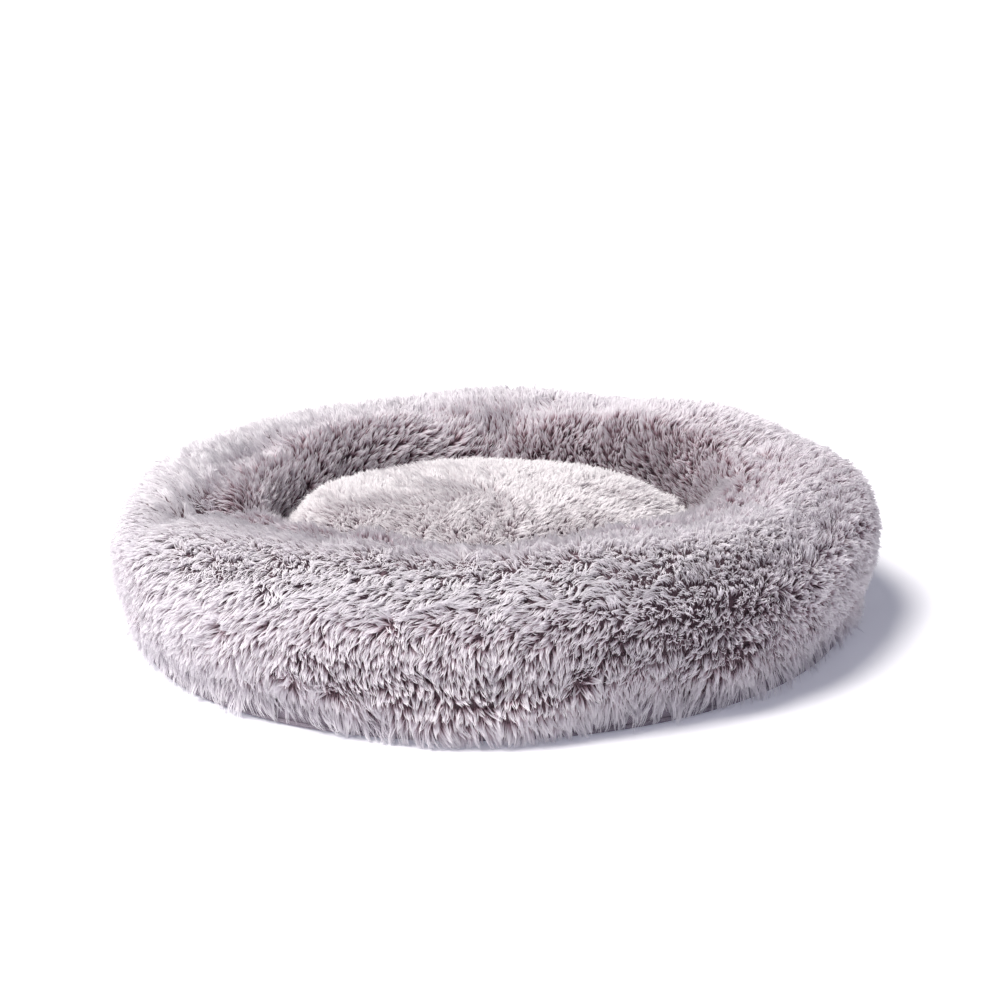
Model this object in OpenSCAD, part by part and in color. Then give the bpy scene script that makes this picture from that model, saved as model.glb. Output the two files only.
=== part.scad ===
// Round pet bed: a stuffed ring bolster sewn round a flat well, with a loose cushion in the well.
// Millimetres, +Z up, +Y to the back, origin on the floor under the middle of the bed.

/* [Ring bolster] */
// Outer diameter over the pile
bed_d = 600; // [480:10:760]
// Height of the bolster's crown above the floor
bed_h = 128; // [110:2:180]
// Width of the bolster from its outer to its inner side, pile included
bolster_w = 132; // [110:2:160]
// Squareness of the bolster's cross-section, 2 being an ellipse
bolster_fullness = 2.2; // [2:0.1:3]
// Depth of the ring's fur fabric with its pile at rest
fur_depth = 12; // [6:1:20]
// Thickness of the inner bags' cloth
liner_t = 1.2; // [0.8:0.2:2.4]

/* [Base] */
// Thickness of the base cloth
base_t = 1; // [0.6:0.2:2]
// Height of the boxing strip round the base
band_h = 14; // [12:1:24]
// Thickness of the boxing strip
band_t = 1; // [0.8:0.2:2]
// Width of the binding tape round the base seam
binding_h = 3; // [2:0.5:5]
// Thickness of the binding tape
binding_t = 1.2; // [0.8:0.2:2]
// Diameter of a non-slip dot
dot_d = 10; // [6:1:16]
// Height of a non-slip dot
dot_h = 1; // [0.5:0.1:2]
// Distance between the rings of dots
dot_pitch = 48; // [30:2:80]
// Number of rings of dots round the middle one
dot_rings = 5; // [2:1:5]
// Length of the care label outside the seam
label_l = 18; // [10:1:22]
// Width of the care label
label_w = 24; // [14:1:40]
// Thickness of the folded care label
label_t = 0.8; // [0.4:0.1:1.2]
// Direction of the care label, counted from the right-hand side
label_angle = 172; // [169:1:200]

/* [Well] */
// Thickness of the wadding under the well floor
pad_t = 10; // [6:1:20]
// Thickness of the well floor's fabric
floor_t = 1; // [0.8:0.2:3]

/* [Cushion] */
// Height of the loose cushion at the top of its dome
cushion_h = 94; // [75:1:115]
// Height of the cushion's widest line above its own base
cushion_belly = 46; // [40:1:55]
// Squareness of the cushion's dome
dome_fullness = 2.7; // [2:0.1:2.9]
// Squareness of the cushion's lower side
cushion_side_fullness = 3.6; // [3:0.1:4.5]
// Depth of the cushion's fur fabric with its pile at rest
cushion_fur_depth = 10; // [6:1:14]
// Height of the cushion's boxing strip
cushion_band_h = 16; // [14:1:20]

/* [Zips] */
// Thickness of a zip's tape
tape_t = 0.8; // [0.6:0.1:1.2]
// Thickness of a zip's coil
coil_t = 2; // [1.6:0.1:2.6]
// Width of one coil
coil_w = 2.4; // [2:0.1:3]
// Gap between the two coils, where the slider's post runs
coil_gap = 1.4; // [1.2:0.1:1.8]
// Length of a slider
slider_l = 11; // [9:0.5:14]
// Thickness of a slider's plates
slider_plate = 1.3; // [1:0.1:1.8]
// Width of a slider's side flanges
slider_flange = 1.1; // [0.8:0.1:1.6]
// Thickness of a slider's post
post_t = 0.7; // [0.5:0.1:0.8]
// Radius of the pin that a pull turns on
pin_r = 0.6; // [0.5:0.05:0.8]
// Length of a pull from its pin to the middle of its round end
pull_l = 20; // [14:1:21]
// Width of a pull
pull_w = 6.8; // [5:0.2:8]
// Thickness of a pull
pull_t = 1.4; // [1:0.1:1.6]
// Radius of the hole in a pull's end
pull_hole_r = 1.4; // [1:0.1:2]
// Length of a stop
stop_l = 1.4; // [1:0.1:2]
// Direction of the ring zip's closed end, counted from the right-hand side
ring_zip_from = 15; // [5:1:30]
// Angle that the ring zip's coils run through
ring_zip_span = 150; // [120:1:160]
// Direction of the cushion zip's closed end
cushion_zip_from = 30; // [0:1:60]
// Angle that the cushion zip's coils run through
cushion_zip_span = 130; // [90:1:160]
// Angle of tape left past each end of the coils
tape_tail = 1.5; // [1:0.5:3]

/* [Clearances] */
// Gap between pieces that are sewn or packed together
seam_gap = 0.3; // [0.2:0.1:0.6]
// Gap under the loose cushion
rest_gap = 0.4; // [0.3:0.1:1]
// Gap between the cushion's side and the ring
cushion_gap = 6; // [3:1:12]
// Gap between a slider and the coils and tape inside it
slide_gap = 0.35; // [0.3:0.05:0.5]
// Gap round the pull's pin
pin_gap = 0.3; // [0.25:0.05:0.4]

/* [Hidden] */
$fn = 96;

fur_colour = "#d3c7d2";
cushion_fur_colour = "#ddd3da";
cloth_colour = "#6d6770";
lining_colour = "#e9e6e2";
metal_colour = "#9b979c";

// Heights in the base and the well
base_top = dot_h + base_t;
band_top = base_top + band_h;
pad_top = base_top + pad_t;
floor_top = pad_top + floor_t;

// The bolster's cross-section: a superellipse round a circle, grown outwards for each layer
ring_mid_r = bed_d / 2 - bolster_w / 2;
ring_inner_r = bed_d / 2 - bolster_w;
liner_half_w = bolster_w / 2 - fur_depth;
liner_half_h = (bed_h - fur_depth - base_top - seam_gap) / 2;
ring_mid_z = base_top + seam_gap + liner_half_h;

// The cushion's cross-section: one superellipse above its widest line and a squarer one below
cushion_z = floor_top + rest_gap;
cushion_base_top = cushion_z + base_t;
cushion_band_top = cushion_base_top + cushion_band_h;
cushion_mid_z = cushion_z + cushion_belly;
cushion_half_w = ring_inner_r - cushion_gap - cushion_fur_depth;
cushion_up = cushion_h - cushion_belly - cushion_fur_depth;
cushion_down = cushion_belly - base_t - seam_gap;

section_step = 6;

// How far a superellipse of half width a and half height b reaches sideways at height y
function reach(a, b, y, n) = a * pow(1 - pow(min(abs(y) / b, 1), n), 1 / n);
// The point of a superellipse at angle t
function round_point(a, b, t, n) =
    [a * sign(cos(t)) * pow(abs(cos(t)), 2 / n), b * sign(sin(t)) * pow(abs(sin(t)), 2 / n)];
function bolster_point(t, out) = [ring_mid_r, ring_mid_z]
    + round_point(liner_half_w + out, liner_half_h + out, t, bolster_fullness);
function cushion_point(t, out) = [0, cushion_mid_z] + (t < 0
    ? round_point(cushion_half_w + out, cushion_down + out, t, cushion_side_fullness)
    : round_point(cushion_half_w + out, cushion_up + out, t, dome_fullness));
function bolster_reach(z) = reach(liner_half_w, liner_half_h, ring_mid_z - z, bolster_fullness);

// Radii of the upright boxing strips: just outside the stuffing at the strip's top
base_r = ring_mid_r + bolster_reach(band_top) + seam_gap;
pad_r = ring_mid_r - bolster_reach(pad_top) - seam_gap;
floor_r = ring_mid_r - bolster_reach(floor_top) - seam_gap;
cushion_base_r = seam_gap + reach(cushion_half_w, cushion_down,
    cushion_mid_z - cushion_band_top, cushion_side_fullness);

// Zip sizes across the tape, from the middle of the coils
coils_half = coil_gap / 2 + coil_w;
channel_half = coils_half + slide_gap;
slider_half_w = channel_half + slider_flange;
slider_half_t = coil_t / 2 + slide_gap + slider_plate;
slot_half = tape_t / 2 + slide_gap;
slider_corner_r = 0.92 * norm([slider_half_w, slider_l / 2]);
knuckle_r = pin_r + pin_gap + 0.6;
knuckle_half = channel_half - 0.8;
bail_leg = 1.2;
bail_w = 1.8;
bail_half = knuckle_half + pin_gap + bail_leg;
pin_out = slider_half_t + pin_gap + knuckle_r;
neck_half = knuckle_half - 0.3;
neck_l = knuckle_r + 2.2;

ring_zip_r = base_r + band_t / 2;
ring_zip_z = (base_top + band_top) / 2;
cushion_zip_r = cushion_base_r + band_t / 2;
cushion_zip_z = (cushion_base_top + cushion_band_top) / 2;

// The angle from a stop to the middle of a parked slider on a zip of radius r
function park(r) = asin((slider_l / 2 + 1) / r);

// ---- Shapes that repeat ----

module disc(r, z0, z1) {
    translate([0, 0, z0]) cylinder(r = r, h = z1 - z0);
}

// An upright strip round the bed from angle a0 through span degrees
module strip(r, t, z0, z1, a0 = 0, span = 360) {
    rotate([0, 0, a0]) rotate_extrude(angle = span) translate([r, z0]) square([t, z1 - z0]);
}

// The bolster's cross-section, grown by out
module bolster_section(out) {
    polygon([for (t = [0 : section_step : 359]) bolster_point(t, out)]);
}

// The layer of the bolster between two offsets, from angle t0 to t1 of its cross-section
module bolster_layer(t0, t1, low, high) {
    steps = ceil((t1 - t0) / section_step);
    polygon(concat(
        [for (i = [0 : steps]) bolster_point(t0 + (t1 - t0) * i / steps, high)],
        [for (i = [steps : -1 : 0]) bolster_point(t0 + (t1 - t0) * i / steps, low)]));
}

// Half of the cushion's cross-section, grown by out, from its axis outwards
module cushion_section(out) {
    polygon([for (t = [-90 : section_step : 90]) cushion_point(t, out)]);
}

// Everything above height z
module above(z) {
    translate([0, z]) square([bed_d, bed_h]);
}

// One half of the outer wall's fur, sewn to the other half at the front and at the back
module outer_fur_half(a0) {
    rotate([0, 0, a0]) rotate_extrude(angle = 180) intersection() {
        bolster_layer(-80, 90, seam_gap, fur_depth);
        above(band_top + seam_gap);
    }
}

module zip_coil(r, z, a0, span, side) {
    low = side > 0 ? z + coil_gap / 2 : z - coils_half;
    strip(r - coil_t / 2, coil_t, low, low + coil_w, a0, span);
}

// The tape on one side of the coils, out to height end
module zip_tape(r, z, end, a0, span) {
    low = min(end, z + sign(end - z) * coils_half);
    high = max(end, z + sign(end - z) * coils_half);
    strip(r - tape_t / 2, tape_t, low, high, a0 - tape_tail, span + 2 * tape_tail);
}

// A closed-end stop over both coils and an open-end stop on each coil
module zip_stops(r, z, a0, span) {
    rotate([0, 0, a0]) translate([r - coil_t / 2, -stop_l, z - coils_half])
        cube([coil_t, stop_l, 2 * coils_half]);
    for (low = [-coils_half, coil_gap / 2])
        rotate([0, 0, a0 + span]) translate([r - coil_t / 2, 0, z + low])
            cube([coil_t, stop_l, coil_w]);
}

// Local axes of a slider: +X away from the bed, +Y towards the open end, +Z up
module on_zip(r, z, a0) {
    rotate([0, 0, a0 + park(r)]) translate([r, 0, z]) children();
}

module slider_shape() {
    difference() {
        intersection() {
            cube([2 * slider_half_t, slider_l, 2 * slider_half_w], center = true);
            rotate([0, 90, 0]) cylinder(r = slider_corner_r, h = 3 * slider_half_t, center = true);
        }
        cube([coil_t + 2 * slide_gap, 2 * slider_l, 2 * channel_half], center = true);
        cube([2 * slot_half, 2 * slider_l, 4 * slider_half_w], center = true);
    }
    // Post between the coils
    translate([-slider_half_t + slider_plate / 2, -slider_l / 2 + 0.6, -post_t / 2])
        cube([2 * slider_half_t - slider_plate, 3, post_t]);
    // Bail and its pin
    for (side = [-1, 1])
        translate([slider_half_t - slider_plate / 2, -bail_w / 2,
                side * (bail_half - bail_leg / 2) - bail_leg / 2])
            cube([pin_out - slider_half_t + slider_plate / 2 + pin_r, bail_w, bail_leg]);
    translate([pin_out, 0, 0]) cylinder(r = pin_r, h = 2 * bail_half - bail_leg, center = true);
}

module pull_shape() {
    translate([pin_out, 0, 0]) difference() {
        union() {
            cylinder(r = knuckle_r, h = 2 * knuckle_half, center = true);
            translate([-pull_t / 2, 0, -neck_half]) cube([pull_t, neck_l + 1, 2 * neck_half]);
            translate([-pull_t / 2, neck_l, -pull_w / 2]) cube([pull_t, pull_l - neck_l, pull_w]);
            translate([0, pull_l, 0]) rotate([0, 90, 0])
                cylinder(r = pull_w / 2, h = pull_t, center = true);
        }
        cylinder(r = pin_r + pin_gap, h = 3 * knuckle_half, center = true);
        translate([0, pull_l, 0]) rotate([0, 90, 0])
            cylinder(r = pull_hole_r, h = 2 * pull_t, center = true);
    }
}

// ---- Ring ----

module ring_fill() {
    color(lining_colour) rotate_extrude() bolster_section(-liner_t - seam_gap);
}

module ring_liner() {
    color(lining_colour) rotate_extrude() difference() {
        bolster_section(0);
        bolster_section(-liner_t);
    }
}

module fur_outer_left() {
    color(fur_colour) outer_fur_half(90);
}

module fur_outer_right() {
    color(fur_colour) outer_fur_half(270);
}

module fur_inner() {
    color(fur_colour) rotate_extrude() intersection() {
        bolster_layer(90, 260, seam_gap, fur_depth);
        above(floor_top + seam_gap);
    }
}

module well_floor() {
    color(cushion_fur_colour) disc(floor_r, pad_top, floor_top);
}

module base_pad() {
    color(lining_colour) disc(pad_r, base_top, pad_top);
}

module base_panel() {
    color(cloth_colour) disc(base_r + band_t, dot_h, base_top);
}

module grip_dots() {
    color("#3c3a40") {
        cylinder(d = dot_d, h = dot_h);
        for (ring = [1 : dot_rings], i = [0 : 6 * ring - 1])
            rotate([0, 0, 60 * i / ring]) translate([ring * dot_pitch, 0, 0])
                cylinder(d = dot_d, h = dot_h);
    }
}

module base_band() {
    zip_end = ring_zip_from + ring_zip_span + tape_tail;
    color(cloth_colour) strip(base_r, band_t, base_top, band_top,
        zip_end, 360 - ring_zip_span - 2 * tape_tail);
}

module base_binding() {
    color(cloth_colour) strip(base_r + band_t, binding_t, dot_h, dot_h + binding_h);
}

module care_label() {
    color("#f4f2ee") rotate([0, 0, label_angle])
        translate([base_r + band_t + binding_t, -label_w / 2, base_top])
            cube([label_l, label_w, label_t]);
}

module ring_zip_tape_lower() {
    color(cloth_colour) zip_tape(ring_zip_r, ring_zip_z, base_top, ring_zip_from, ring_zip_span);
}

module ring_zip_tape_upper() {
    color(cloth_colour) zip_tape(ring_zip_r, ring_zip_z, band_top, ring_zip_from, ring_zip_span);
}

module ring_zip_coil_lower() {
    color("#56515a") zip_coil(ring_zip_r, ring_zip_z, ring_zip_from, ring_zip_span, -1);
}

module ring_zip_coil_upper() {
    color("#56515a") zip_coil(ring_zip_r, ring_zip_z, ring_zip_from, ring_zip_span, 1);
}

module ring_zip_stops() {
    color(metal_colour) zip_stops(ring_zip_r, ring_zip_z, ring_zip_from, ring_zip_span);
}

module ring_zip_slider() {
    color(metal_colour) on_zip(ring_zip_r, ring_zip_z, ring_zip_from) slider_shape();
}

module ring_zip_pull() {
    color(metal_colour) on_zip(ring_zip_r, ring_zip_z, ring_zip_from) pull_shape();
}

// ---- Loose cushion ----

module cushion_fill() {
    color(lining_colour) rotate_extrude() cushion_section(-liner_t - seam_gap);
}

module cushion_liner() {
    color(lining_colour) rotate_extrude() difference() {
        cushion_section(0);
        cushion_section(-liner_t);
    }
}

module cushion_fur_top() {
    color(cushion_fur_colour) rotate_extrude() intersection() {
        difference() {
            cushion_section(cushion_fur_depth);
            cushion_section(seam_gap);
        }
        above(cushion_band_top + seam_gap);
    }
}

module cushion_base_panel() {
    color(cloth_colour) disc(cushion_base_r + band_t, cushion_z, cushion_base_top);
}

module cushion_band() {
    zip_end = cushion_zip_from + cushion_zip_span + tape_tail;
    color(cloth_colour) strip(cushion_base_r, band_t, cushion_base_top, cushion_band_top,
        zip_end, 360 - cushion_zip_span - 2 * tape_tail);
}

module cushion_zip_tape_lower() {
    color(cloth_colour) zip_tape(cushion_zip_r, cushion_zip_z, cushion_base_top,
        cushion_zip_from, cushion_zip_span);
}

module cushion_zip_tape_upper() {
    color(cloth_colour) zip_tape(cushion_zip_r, cushion_zip_z, cushion_band_top,
        cushion_zip_from, cushion_zip_span);
}

module cushion_zip_coil_lower() {
    color("#56515a") zip_coil(cushion_zip_r, cushion_zip_z, cushion_zip_from, cushion_zip_span, -1);
}

module cushion_zip_coil_upper() {
    color("#56515a") zip_coil(cushion_zip_r, cushion_zip_z, cushion_zip_from, cushion_zip_span, 1);
}

module cushion_zip_stops() {
    color(metal_colour) zip_stops(cushion_zip_r, cushion_zip_z, cushion_zip_from, cushion_zip_span);
}

module cushion_zip_slider() {
    color(metal_colour) on_zip(cushion_zip_r, cushion_zip_z, cushion_zip_from) slider_shape();
}

module cushion_zip_pull() {
    color(metal_colour) on_zip(cushion_zip_r, cushion_zip_z, cushion_zip_from) pull_shape();
}

ring_fill();
ring_liner();
fur_outer_left();
fur_outer_right();
fur_inner();
well_floor();
base_pad();
base_panel();
grip_dots();
base_band();
base_binding();
care_label();
ring_zip_tape_lower();
ring_zip_tape_upper();
ring_zip_coil_lower();
ring_zip_coil_upper();
ring_zip_stops();
ring_zip_slider();
ring_zip_pull();
cushion_fill();
cushion_liner();
cushion_fur_top();
cushion_base_panel();
cushion_band();
cushion_zip_tape_lower();
cushion_zip_tape_upper();
cushion_zip_coil_lower();
cushion_zip_coil_upper();
cushion_zip_stops();
cushion_zip_slider();
cushion_zip_pull();
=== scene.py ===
# %% [markdown]
# # A round pet bed in long-pile faux fur
# A "donut" bed is a stuffed ring sewn round a flat well, with a loose cushion in the well. Its sizes,
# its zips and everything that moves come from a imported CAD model. This script loads that model as a
# fixed frame and builds what the eye meets on top of it: fur, woven cloth, tape, zip coils and metal.

# %% Load the frame
import math

import bpy
import numpy as np
from mathutils import Euler, Matrix, Vector


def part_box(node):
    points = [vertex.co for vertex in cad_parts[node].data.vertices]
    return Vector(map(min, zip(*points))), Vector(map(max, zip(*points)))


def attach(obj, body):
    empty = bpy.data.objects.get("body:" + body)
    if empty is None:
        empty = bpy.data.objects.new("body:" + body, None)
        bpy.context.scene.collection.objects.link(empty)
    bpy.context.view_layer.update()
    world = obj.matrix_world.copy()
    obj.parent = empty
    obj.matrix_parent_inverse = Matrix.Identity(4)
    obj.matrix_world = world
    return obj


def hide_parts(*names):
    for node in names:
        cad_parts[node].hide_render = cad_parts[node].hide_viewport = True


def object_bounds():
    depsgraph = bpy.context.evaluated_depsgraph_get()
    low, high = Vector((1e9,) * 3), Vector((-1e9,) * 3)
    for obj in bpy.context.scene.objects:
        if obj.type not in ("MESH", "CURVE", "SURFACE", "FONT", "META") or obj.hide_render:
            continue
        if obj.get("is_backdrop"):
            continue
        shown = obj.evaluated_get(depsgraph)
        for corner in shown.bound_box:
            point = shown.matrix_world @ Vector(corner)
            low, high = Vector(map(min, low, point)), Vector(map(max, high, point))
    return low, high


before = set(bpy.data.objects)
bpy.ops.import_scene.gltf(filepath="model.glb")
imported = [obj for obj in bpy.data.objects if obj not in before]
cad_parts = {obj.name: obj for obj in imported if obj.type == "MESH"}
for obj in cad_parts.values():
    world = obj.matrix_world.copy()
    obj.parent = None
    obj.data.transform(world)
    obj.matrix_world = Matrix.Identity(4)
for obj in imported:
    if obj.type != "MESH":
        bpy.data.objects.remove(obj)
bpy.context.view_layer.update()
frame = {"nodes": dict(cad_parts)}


def plain_box():
    """The visible object's lowest and highest corners, as plain lists of numbers."""
    return [[float(c) for c in corner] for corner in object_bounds()]


MM = 0.001


# %% Vectors and angles
def box(node):
    """A node's lowest and highest corners at rest, as two arrays."""
    return tuple(np.array(corner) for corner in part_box(node))


def unit(x):
    """Vectors scaled to length 1."""
    return x / np.maximum(np.linalg.norm(x, axis=-1, keepdims=True), 1e-12)


def circle(count):
    """Equal steps once round a circle, starting at 0, in radians."""
    return np.arange(count) / count * 2 * np.pi


def around(x, middle):
    """The shortest way round the circle from middle to x, in radians."""
    return (x - middle + np.pi) % (2 * np.pi) - np.pi


def hump(x, middle, width):
    """exp(-((x - middle) / width)^2)."""
    return np.exp(-(((x - middle) / width) ** 2))


def bell(x, middle, width):
    """A hump on a circle."""
    return hump(around(x, middle), 0, width)


def polar(r, angle, z):
    """Points at distance r and at this angle from the bed's axis, at height z."""
    return np.stack(np.broadcast_arrays(r * np.cos(angle), r * np.sin(angle), z), -1)


def everywhere(value):
    """A field with the same value at every place."""
    return lambda u, v=0.0: np.full(np.shape(u), value)

# %% [markdown]
# ## Helpers for colours and materials
# Shader colours are linear light, and colour pickers give sRGB hex values, so one function turns the
# one into the other. A second one adds any shader node with its settings and links in one call.


# %% Colours and nodes
def linear(hex_colour, alpha=1.0):
    """sRGB to linear light: c / 12.92 below 0.04045, otherwise ((c + 0.055) / 1.055) ** 2.4."""
    c = np.array([int(hex_colour[i : i + 2], 16) for i in (1, 3, 5)]) / 255
    c = np.where(c <= 0.04045, c / 12.92, ((c + 0.055) / 1.055) ** 2.4)
    return (*c.tolist(), alpha)


def add(tree, kind, links=None, values=None, **settings):
    """Adds a node. settings are its own properties, values its unlinked sockets, links its linked ones,
    by the sockets' names or numbers."""
    node = tree.nodes.new(kind)
    for name, value in settings.items():
        setattr(node, name, value)
    for name, value in (values or {}).items():
        node.inputs[name].default_value = value
    for name, source in (links or {}).items():
        tree.links.new(source, node.inputs[name])
    return node


def new_material(name, roughness, **values):
    """A material with one Principled shader, whose constant sockets are set by name."""
    material = bpy.data.materials.new(name)
    material.use_nodes = True
    tree = material.node_tree
    shader = tree.nodes["Principled BSDF"]
    shader.inputs["Roughness"].default_value = roughness
    for key, value in values.items():
        shader.inputs[key.replace("_", " ")].default_value = value
    return material, tree, shader


def ramp(tree, source, stops):
    """A colour ramp over source, from (place, hex colour) stops."""
    node = add(tree, "ShaderNodeValToRGB", {"Fac": source})
    elements = node.color_ramp.elements
    while len(elements) < len(stops):
        elements.new(0.5)
    for element, (place, colour) in zip(elements, stops):
        element.position = place
        element.color = linear(colour)
    return node.outputs["Color"]


def map_range(tree, value, low, high):
    """A value of 0 to 1, moved to the range from low to high."""
    ends = {"To Min": low, "To Max": high}
    return add(tree, "ShaderNodeMapRange", {"Value": value}, ends).outputs["Result"]


# %% Cloth, plush and metal
def coordinates(tree, upright):
    """Object coordinates, or for an upright strip round the bed its angle times radius, height and radius."""
    place = add(tree, "ShaderNodeTexCoord").outputs["Object"]
    if not upright:
        return place
    part = add(tree, "ShaderNodeSeparateXYZ", {"Vector": place}).outputs
    angle = add(tree, "ShaderNodeMath", {0: part["Y"], 1: part["X"]}, operation="ARCTAN2")
    arc = add(tree, "ShaderNodeMath", {0: angle.outputs[0]}, {1: upright}, operation="MULTIPLY")
    return add(tree, "ShaderNodeCombineXYZ", {"X": arc.outputs[0], "Y": part["Z"]}).outputs["Vector"]


def woven(name, colour, thread_mm, roughness, upright=0.0, worn=0.12, **values):
    """Plain weave: two crossed waves, one period of each for two threads, raise the threads, paint shade into
    the gaps between them and roughen them; wide noise fades the dye unevenly."""
    material, tree, shader = new_material(name, roughness, **values)
    place = coordinates(tree, upright)
    scale = 2 * math.pi / (20 * 2 * thread_mm * MM)
    bands = [
        add(
            tree, "ShaderNodeTexWave", {"Vector": place},
            {"Scale": scale, "Distortion": 0.5, "Detail": 1.0, "Detail Scale": 2.0},
            bands_direction=axis, wave_profile="SIN",
        ).outputs["Fac"]
        for axis in "XY"
    ]
    inverse = add(tree, "ShaderNodeMath", {1: bands[1]}, {0: 1}, operation="SUBTRACT").outputs[0]
    crossed = {"Factor": bands[0], "A": bands[1], "B": inverse}
    height = add(tree, "ShaderNodeMix", crossed, data_type="FLOAT").outputs["Result"]
    fade = add(tree, "ShaderNodeTexNoise", {"Vector": place}, {"Scale": 22.0, "Detail": 5.0}).outputs["Fac"]
    # painted shade: both ramps paint the gaps between threads darker than the threads' crowns
    dark = ramp(tree, height, ((0.1, shade(colour, 0.72)), (0.8, colour)))
    light = ramp(tree, height, ((0.1, shade(colour, 0.8)), (0.8, shade(colour, 1 + worn))))
    mixed = add(tree, "ShaderNodeMix", {"Factor": fade, 6: dark, 7: light}, data_type="RGBA")
    tree.links.new(mixed.outputs[2], shader.inputs["Base Color"])
    tree.links.new(map_range(tree, fade, roughness - 0.08, roughness + 0.06), shader.inputs["Roughness"])
    bump(tree, shader, height, 0.35, thread_mm * 0.25 * MM)
    return material


def shade(hex_colour, factor):
    """The same hue, lighter or darker: every sRGB channel times factor, held within 0 and 255."""
    parts = [min(255, max(0, round(int(hex_colour[i : i + 2], 16) * factor))) for i in (1, 3, 5)]
    return "#" + "".join(f"{p:02x}" for p in parts)


def bump(tree, shader, height, strength, distance):
    node = add(tree, "ShaderNodeBump", {"Height": height}, {"Strength": strength, "Distance": distance})
    tree.links.new(node.outputs["Normal"], shader.inputs["Normal"])


def mottled(name, low, high, roughness, scale, depth_mm, **values):
    """A surface whose colour and height follow fine noise: plush, fibre, rubber or cast metal."""
    material, tree, shader = new_material(name, roughness, **values)
    place = coordinates(tree, 0.0)
    grain = {"Scale": scale, "Detail": 6.0, "Roughness": 0.62}
    fine = add(tree, "ShaderNodeTexNoise", {"Vector": place}, grain).outputs["Fac"]
    tree.links.new(ramp(tree, fine, ((0.32, low), (0.68, high))), shader.inputs["Base Color"])
    tree.links.new(map_range(tree, fine, roughness - 0.07, roughness + 0.07), shader.inputs["Roughness"])
    bump(tree, shader, fine, 0.6, depth_mm * MM)
    return material


# %% [markdown]
# ## Smooth noise
# Stuffing is uneven and a pile is never combed quite straight. Both need smooth random fields that
# repeat round the ring, so a field here is a sum of waves with seeded phases: whole numbers of waves
# round the ring, and free ones across it.


# %% Wave fields
def wave_field(seed, waves, round_it, across, power=1.0):
    """A field f(u, v) of mean 0 and variance 1: a sum of cos(a u + b v + phase), with whole numbers a
    up to round_it, b up to across, and each wave's size falling with its frequency to the given power."""
    draw = np.random.default_rng(seed)
    a = draw.integers(0, round_it + 1, waves) * draw.choice([-1, 1], waves)
    b = draw.uniform(-across, across, waves)
    phase = draw.uniform(0, 2 * np.pi, waves)
    size = 1 / (1 + np.hypot(a / round_it, b / across)) ** power
    size *= math.sqrt(2 / (size**2).sum())

    def field(u, v):
        total = np.zeros(np.broadcast(u, v).shape)
        for k in range(waves):
            total += size[k] * np.cos(a[k] * u + b[k] * v + phase[k])
        return total

    return field


# %% [markdown]
# ## The stuffed skins
# The ring and the cushion are fabric skins filled with fibre. Each starts as a smooth surface of two
# parameters: u turns round the bed, and v follows the cross-section, a superellipse like the CAD
# solid's. Lumps, a plumper shoulder and the puckers of a sewn and sat-on bed are then added along it.

# %% Sizes taken from the frame
inner_low, inner_high = box("fur_inner")
liner_low, liner_high = box("ring_liner")
cushion_liner_low, cushion_liner_high = box("cushion_liner")

ring_mid_r = inner_high[0]
liner_half_w = liner_high[0] - ring_mid_r
liner_half_h = (liner_high[2] - liner_low[2]) / 2
ring_mid_z = (liner_high[2] + liner_low[2]) / 2
hem_z = box("fur_outer_right")[0][2]
floor_z = inner_low[2]
cushion_half_w = cushion_liner_high[0]
cushion_hem_z = box("cushion_fur_top")[0][2]
cushion_z = (cushion_liner_low[2], cushion_liner_high[2])
RING_FULLNESS = 2.2
print(f"ring line radius {ring_mid_r:.3f} m, section {liner_half_w:.3f} x {liner_half_h:.3f} m")


# %% Superellipses
def signed_power(x, power):
    return np.sign(x) * np.abs(x) ** power


def superellipse(t, a, b, n):
    """Point of |x/a|^n + |y/b|^n = 1 at angle t: a and b times cos t and sin t to the power 2/n."""
    return a * signed_power(np.cos(t), 2 / n), b * signed_power(np.sin(t), 2 / n)


def angle_at(height, b, n):
    """The parameter angle at which a superellipse is at this height: asin of (height/b)^(n/2)."""
    return math.asin(math.copysign(abs(height / b) ** (n / 2), height))


# %% [markdown]
# ### Stuffing the covers
# A stuffed cover is cloth that is a little larger than its filling, pressed out from inside and held
# in by its seams. So the lumps aren't drawn. Each cover is simulated as cloth that grows by a few
# per cent while its seams shorten, with uneven air pressure for fibre, and its movement along its own
# normals is kept as a smooth field that every layer of the bed then follows.


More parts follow.
